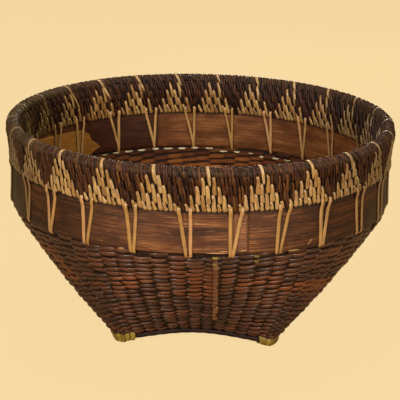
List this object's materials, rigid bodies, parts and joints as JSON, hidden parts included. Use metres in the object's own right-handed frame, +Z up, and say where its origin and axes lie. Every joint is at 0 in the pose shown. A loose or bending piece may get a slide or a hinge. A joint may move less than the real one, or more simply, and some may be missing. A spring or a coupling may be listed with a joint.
{
  "type": "rattan bread basket",
  "caption": "Open woven basket that rises from a small square foot to a round mouth, with a hoop-clamped rim laced by cane V lashings and covered in triangle-pattern stitching.",
  "frame": {"origin": "centre of the foot, on the surface that the basket stands on", "axes": "+Z up through the mouth; -Y is the side of the square foot that faces the picture's viewer; +X is to that viewer's right"},
  "size_m": [0.32, 0.3197, 0.18],
  "materials": {
    "weathered_rattan": "satin",
    "dark_border_cane": "satin",
    "plaited_splint": "matte",
    "red_brown_wood": "satin",
    "mid_brown_wood": "satin",
    "rim_rod_cane": "matte",
    "dark_cane": "satin",
    "pale_cane": "satin",
    "lashing_cane": "satin",
    "yellow_green_splint": "satin"
  },
  "bodies": {
    "root": {"back_left_foot_binding": "yellow_green_splint", "back_right_foot_binding": "yellow_green_splint", "base_border": "dark_border_cane", "base_mat": "plaited_splint", "dark_stitching": "dark_cane", "front_left_foot_binding": "yellow_green_splint", "front_right_foot_binding": "yellow_green_splint", "inner_hoop": "mid_brown_wood", "lashing_01": "lashing_cane", "lashing_02": "lashing_cane", "lashing_03": "lashing_cane", "lashing_04": "lashing_cane", "lashing_05": "lashing_cane", "lashing_06": "lashing_cane", "lashing_07": "lashing_cane", "lashing_08": "lashing_cane", "lashing_09": "lashing_cane", "lashing_10": "lashing_cane", "lashing_11": "lashing_cane", "lashing_12": "lashing_cane", "lashing_13": "lashing_cane", "lashing_14": "lashing_cane", "lashing_15": "lashing_cane", "lashing_16": "lashing_cane", "lashing_17": "lashing_cane", "lashing_18": "lashing_cane", "lashing_19": "lashing_cane", "lashing_20": "lashing_cane", "lashing_21": "lashing_cane", "lashing_22": "lashing_cane", "lashing_23": "lashing_cane", "lashing_24": "lashing_cane", "lashing_25": "lashing_cane", "lower_rim_rod": "rim_rod_cane", "outer_hoop": "red_brown_wood", "pale_stitching": "pale_cane", "upper_rim_rod": "rim_rod_cane", "woven_wall": "weathered_rattan"}
  },
  "joints": []
}
